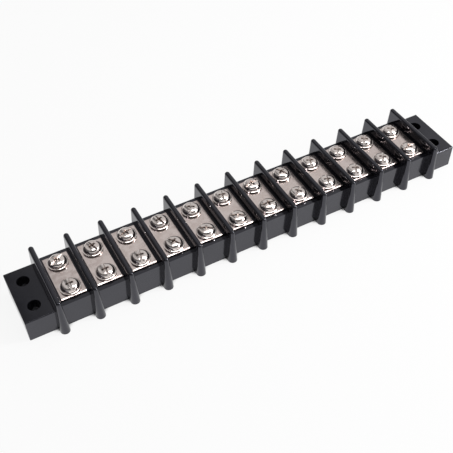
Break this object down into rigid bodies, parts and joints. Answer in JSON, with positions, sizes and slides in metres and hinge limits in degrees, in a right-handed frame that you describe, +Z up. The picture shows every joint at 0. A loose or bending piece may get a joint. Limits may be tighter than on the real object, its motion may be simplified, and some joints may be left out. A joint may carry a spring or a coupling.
{
  "type": "barrier terminal strip",
  "caption": "Black double-row barrier terminal strip: a moulded bar with upright fins, bridging metal plates and washered screws, and mounting holes in both ends.",
  "frame": {"origin": "middle of the flat underside", "axes": "+X along the strip, +Z up out of the terminals, -Y towards the front row of screws"},
  "size_m": [0.242, 0.0416, 0.0206],
  "materials": {
    "moulding": "semi-gloss black thermoset",
    "plated_brass": "satin nickel plate",
    "plated_steel": "bright nickel plate"
  },
  "bodies": {
    "base": {"base_moulding": "moulding", "terminal_plates": "plated_brass"},
    "washer_front_01": {"washer_front_01": "plated_steel"},
    "screw_front_01": {"screw_front_01": "plated_steel"},
    "washer_front_02": {"washer_front_02": "plated_steel"},
    "screw_front_02": {"screw_front_02": "plated_steel"},
    "washer_front_03": {"washer_front_03": "plated_steel"},
    "screw_front_03": {"screw_front_03": "plated_steel"},
    "washer_front_04": {"washer_front_04": "plated_steel"},
    "screw_front_04": {"screw_front_04": "plated_steel"},
    "washer_front_05": {"washer_front_05": "plated_steel"},
    "screw_front_05": {"screw_front_05": "plated_steel"},
    "washer_front_06": {"washer_front_06": "plated_steel"},
    "screw_front_06": {"screw_front_06": "plated_steel"},
    "washer_front_07": {"washer_front_07": "plated_steel"},
    "screw_front_07": {"screw_front_07": "plated_steel"},
    "washer_front_08": {"washer_front_08": "plated_steel"},
    "screw_front_08": {"screw_front_08": "plated_steel"},
    "washer_front_09": {"washer_front_09": "plated_steel"},
    "screw_front_09": {"screw_front_09": "plated_steel"},
    "washer_front_10": {"washer_front_10": "plated_steel"},
    "screw_front_10": {"screw_front_10": "plated_steel"},
    "washer_front_11": {"washer_front_11": "plated_steel"},
    "screw_front_11": {"screw_front_11": "plated_steel"},
    "washer_front_12": {"washer_front_12": "plated_steel"},
    "screw_front_12": {"screw_front_12": "plated_steel"},
    "washer_back_01": {"washer_back_01": "plated_steel"},
    "screw_back_01": {"screw_back_01": "plated_steel"},
    "washer_back_02": {"washer_back_02": "plated_steel"},
    "screw_back_02": {"screw_back_02": "plated_steel"},
    "washer_back_03": {"washer_back_03": "plated_steel"},
    "screw_back_03": {"screw_back_03": "plated_steel"},
    "washer_back_04": {"washer_back_04": "plated_steel"},
    "screw_back_04": {"screw_back_04": "plated_steel"},
    "washer_back_05": {"washer_back_05": "plated_steel"},
    "screw_back_05": {"screw_back_05": "plated_steel"},
    "washer_back_06": {"washer_back_06": "plated_steel"},
    "screw_back_06": {"screw_back_06": "plated_steel"},
    "washer_back_07": {"washer_back_07": "plated_steel"},
    "screw_back_07": {"screw_back_07": "plated_steel"},
    "washer_back_08": {"washer_back_08": "plated_steel"},
    "screw_back_08": {"screw_back_08": "plated_steel"},
    "washer_back_09": {"washer_back_09": "plated_steel"},
    "screw_back_09": {"screw_back_09": "plated_steel"},
    "washer_back_10": {"washer_back_10": "plated_steel"},
    "screw_back_10": {"screw_back_10": "plated_steel"},
    "washer_back_11": {"washer_back_11": "plated_steel"},
    "screw_back_11": {"screw_back_11": "plated_steel"},
    "washer_back_12": {"washer_back_12": "plated_steel"},
    "screw_back_12": {"screw_back_12": "plated_steel"}
  },
  "joints": [
    {"name": "lift_front_01", "type": "slide", "parent": "base", "child": "washer_front_01", "axis": [0, 0, 1], "range_m": [0, 0.0048]},
    {"name": "turn_front_01", "type": "hinge", "parent": "washer_front_01", "child": "screw_front_01", "pos_m": [-0.09625, -0.0082, 0.018], "axis": [0, 0, 1], "range_deg": [0, 2165]},
    {"name": "lift_front_02", "type": "slide", "parent": "base", "child": "washer_front_02", "axis": [0, 0, 1], "range_m": [0, 0.0048]},
    {"name": "turn_front_02", "type": "hinge", "parent": "washer_front_02", "child": "screw_front_02", "pos_m": [-0.07875, -0.0082, 0.018], "axis": [0, 0, 1], "range_deg": [0, 2165]},
    {"name": "lift_front_03", "type": "slide", "parent": "base", "child": "washer_front_03", "axis": [0, 0, 1], "range_m": [0, 0.0048]},
    {"name": "turn_front_03", "type": "hinge", "parent": "washer_front_03", "child": "screw_front_03", "pos_m": [-0.06125, -0.0082, 0.018], "axis": [0, 0, 1], "range_deg": [0, 2165]},
    {"name": "lift_front_04", "type": "slide", "parent": "base", "child": "washer_front_04", "axis": [0, 0, 1], "range_m": [0, 0.0048]},
    {"name": "turn_front_04", "type": "hinge", "parent": "washer_front_04", "child": "screw_front_04", "pos_m": [-0.04375, -0.0082, 0.018], "axis": [0, 0, 1], "range_deg": [0, 2165]},
    {"name": "lift_front_05", "type": "slide", "parent": "base", "child": "washer_front_05", "axis": [0, 0, 1], "range_m": [0, 0.0048]},
    {"name": "turn_front_05", "type": "hinge", "parent": "washer_front_05", "child": "screw_front_05", "pos_m": [-0.02625, -0.0082, 0.018], "axis": [0, 0, 1], "range_deg": [0, 2165]},
    {"name": "lift_front_06", "type": "slide", "parent": "base", "child": "washer_front_06", "axis": [0, 0, 1], "range_m": [0, 0.0048]},
    {"name": "turn_front_06", "type": "hinge", "parent": "washer_front_06", "child": "screw_front_06", "pos_m": [-0.00875, -0.0082, 0.018], "axis": [0, 0, 1], "range_deg": [0, 2165]},
    {"name": "lift_front_07", "type": "slide", "parent": "base", "child": "washer_front_07", "axis": [0, 0, 1], "range_m": [0, 0.0048]},
    {"name": "turn_front_07", "type": "hinge", "parent": "washer_front_07", "child": "screw_front_07", "pos_m": [0.00875, -0.0082, 0.018], "axis": [0, 0, 1], "range_deg": [0, 2165]},
    {"name": "lift_front_08", "type": "slide", "parent": "base", "child": "washer_front_08", "axis": [0, 0, 1], "range_m": [0, 0.0048]},
    {"name": "turn_front_08", "type": "hinge", "parent": "washer_front_08", "child": "screw_front_08", "pos_m": [0.02625, -0.0082, 0.018], "axis": [0, 0, 1], "range_deg": [0, 2165]},
    {"name": "lift_front_09", "type": "slide", "parent": "base", "child": "washer_front_09", "axis": [0, 0, 1], "range_m": [0, 0.0048]},
    {"name": "turn_front_09", "type": "hinge", "parent": "washer_front_09", "child": "screw_front_09", "pos_m": [0.04375, -0.0082, 0.018], "axis": [0, 0, 1], "range_deg": [0, 2165]},
    {"name": "lift_front_10", "type": "slide", "parent": "base", "child": "washer_front_10", "axis": [0, 0, 1], "range_m": [0, 0.0048]},
    {"name": "turn_front_10", "type": "hinge", "parent": "washer_front_10", "child": "screw_front_10", "pos_m": [0.06125, -0.0082, 0.018], "axis": [0, 0, 1], "range_deg": [0, 2165]},
    {"name": "lift_front_11", "type": "slide", "parent": "base", "child": "washer_front_11", "axis": [0, 0, 1], "range_m": [0, 0.0048]},
    {"name": "turn_front_11", "type": "hinge", "parent": "washer_front_11", "child": "screw_front_11", "pos_m": [0.07875, -0.0082, 0.018], "axis": [0, 0, 1], "range_deg": [0, 2165]},
    {"name": "lift_front_12", "type": "slide", "parent": "base", "child": "washer_front_12", "axis": [0, 0, 1], "range_m": [0, 0.0048]},
    {"name": "turn_front_12", "type": "hinge", "parent": "washer_front_12", "child": "screw_front_12", "pos_m": [0.09625, -0.0082, 0.018], "axis": [0, 0, 1], "range_deg": [0, 2165]},
    {"name": "lift_back_01", "type": "slide", "parent": "base", "child": "washer_back_01", "axis": [0, 0, 1], "range_m": [0, 0.0048]},
    {"name": "turn_back_01", "type": "hinge", "parent": "washer_back_01", "child": "screw_back_01", "pos_m": [-0.09625, 0.0082, 0.018], "axis": [0, 0, 1], "range_deg": [0, 2165]},
    {"name": "lift_back_02", "type": "slide", "parent": "base", "child": "washer_back_02", "axis": [0, 0, 1], "range_m": [0, 0.0048]},
    {"name": "turn_back_02", "type": "hinge", "parent": "washer_back_02", "child": "screw_back_02", "pos_m": [-0.07875, 0.0082, 0.018], "axis": [0, 0, 1], "range_deg": [0, 2165]},
    {"name": "lift_back_03", "type": "slide", "parent": "base", "child": "washer_back_03", "axis": [0, 0, 1], "range_m": [0, 0.0048]},
    {"name": "turn_back_03", "type": "hinge", "parent": "washer_back_03", "child": "screw_back_03", "pos_m": [-0.06125, 0.0082, 0.018], "axis": [0, 0, 1], "range_deg": [0, 2165]},
    {"name": "lift_back_04", "type": "slide", "parent": "base", "child": "washer_back_04", "axis": [0, 0, 1], "range_m": [0, 0.0048]},
    {"name": "turn_back_04", "type": "hinge", "parent": "washer_back_04", "child": "screw_back_04", "pos_m": [-0.04375, 0.0082, 0.018], "axis": [0, 0, 1], "range_deg": [0, 2165]},
    {"name": "lift_back_05", "type": "slide", "parent": "base", "child": "washer_back_05", "axis": [0, 0, 1], "range_m": [0, 0.0048]},
    {"name": "turn_back_05", "type": "hinge", "parent": "washer_back_05", "child": "screw_back_05", "pos_m": [-0.02625, 0.0082, 0.018], "axis": [0, 0, 1], "range_deg": [0, 2165]},
    {"name": "lift_back_06", "type": "slide", "parent": "base", "child": "washer_back_06", "axis": [0, 0, 1], "range_m": [0, 0.0048]},
    {"name": "turn_back_06", "type": "hinge", "parent": "washer_back_06", "child": "screw_back_06", "pos_m": [-0.00875, 0.0082, 0.018], "axis": [0, 0, 1], "range_deg": [0, 2165]},
    {"name": "lift_back_07", "type": "slide", "parent": "base", "child": "washer_back_07", "axis": [0, 0, 1], "range_m": [0, 0.0048]},
    {"name": "turn_back_07", "type": "hinge", "parent": "washer_back_07", "child": "screw_back_07", "pos_m": [0.00875, 0.0082, 0.018], "axis": [0, 0, 1], "range_deg": [0, 2165]},
    {"name": "lift_back_08", "type": "slide", "parent": "base", "child": "washer_back_08", "axis": [0, 0, 1], "range_m": [0, 0.0048]},
    {"name": "turn_back_08", "type": "hinge", "parent": "washer_back_08", "child": "screw_back_08", "pos_m": [0.02625, 0.0082, 0.018], "axis": [0, 0, 1], "range_deg": [0, 2165]},
    {"name": "lift_back_09", "type": "slide", "parent": "base", "child": "washer_back_09", "axis": [0, 0, 1], "range_m": [0, 0.0048]},
    {"name": "turn_back_09", "type": "hinge", "parent": "washer_back_09", "child": "screw_back_09", "pos_m": [0.04375, 0.0082, 0.018], "axis": [0, 0, 1], "range_deg": [0, 2165]},
    {"name": "lift_back_10", "type": "slide", "parent": "base", "child": "washer_back_10", "axis": [0, 0, 1], "range_m": [0, 0.0048]},
    {"name": "turn_back_10", "type": "hinge", "parent": "washer_back_10", "child": "screw_back_10", "pos_m": [0.06125, 0.0082, 0.018], "axis": [0, 0, 1], "range_deg": [0, 2165]},
    {"name": "lift_back_11", "type": "slide", "parent": "base", "child": "washer_back_11", "axis": [0, 0, 1], "range_m": [0, 0.0048]},
    {"name": "turn_back_11", "type": "hinge", "parent": "washer_back_11", "child": "screw_back_11", "pos_m": [0.07875, 0.0082, 0.018], "axis": [0, 0, 1], "range_deg": [0, 2165]},
    {"name": "lift_back_12", "type": "slide", "parent": "base", "child": "washer_back_12", "axis": [0, 0, 1], "range_m": [0, 0.0048]},
    {"name": "turn_back_12", "type": "hinge", "parent": "washer_back_12", "child": "screw_back_12", "pos_m": [0.09625, 0.0082, 0.018], "axis": [0, 0, 1], "range_deg": [0, 2165]}
  ],
  "couplings": [
    {"joint": "turn_front_01", "follows": "lift_front_01", "rad_per_m": 7854},
    {"joint": "turn_front_02", "follows": "lift_front_02", "rad_per_m": 7854},
    {"joint": "turn_front_03", "follows": "lift_front_03", "rad_per_m": 7854},
    {"joint": "turn_front_04", "follows": "lift_front_04", "rad_per_m": 7854},
    {"joint": "turn_front_05", "follows": "lift_front_05", "rad_per_m": 7854},
    {"joint": "turn_front_06", "follows": "lift_front_06", "rad_per_m": 7854},
    {"joint": "turn_front_07", "follows": "lift_front_07", "rad_per_m": 7854},
    {"joint": "turn_front_08", "follows": "lift_front_08", "rad_per_m": 7854},
    {"joint": "turn_front_09", "follows": "lift_front_09", "rad_per_m": 7854},
    {"joint": "turn_front_10", "follows": "lift_front_10", "rad_per_m": 7854},
    {"joint": "turn_front_11", "follows": "lift_front_11", "rad_per_m": 7854},
    {"joint": "turn_front_12", "follows": "lift_front_12", "rad_per_m": 7854},
    {"joint": "turn_back_01", "follows": "lift_back_01", "rad_per_m": 7854},
    {"joint": "turn_back_02", "follows": "lift_back_02", "rad_per_m": 7854},
    {"joint": "turn_back_03", "follows": "lift_back_03", "rad_per_m": 7854},
    {"joint": "turn_back_04", "follows": "lift_back_04", "rad_per_m": 7854},
    {"joint": "turn_back_05", "follows": "lift_back_05", "rad_per_m": 7854},
    {"joint": "turn_back_06", "follows": "lift_back_06", "rad_per_m": 7854},
    {"joint": "turn_back_07", "follows": "lift_back_07", "rad_per_m": 7854},
    {"joint": "turn_back_08", "follows": "lift_back_08", "rad_per_m": 7854},
    {"joint": "turn_back_09", "follows": "lift_back_09", "rad_per_m": 7854},
    {"joint": "turn_back_10", "follows": "lift_back_10", "rad_per_m": 7854},
    {"joint": "turn_back_11", "follows": "lift_back_11", "rad_per_m": 7854},
    {"joint": "turn_back_12", "follows": "lift_back_12", "rad_per_m": 7854}
  ]
}
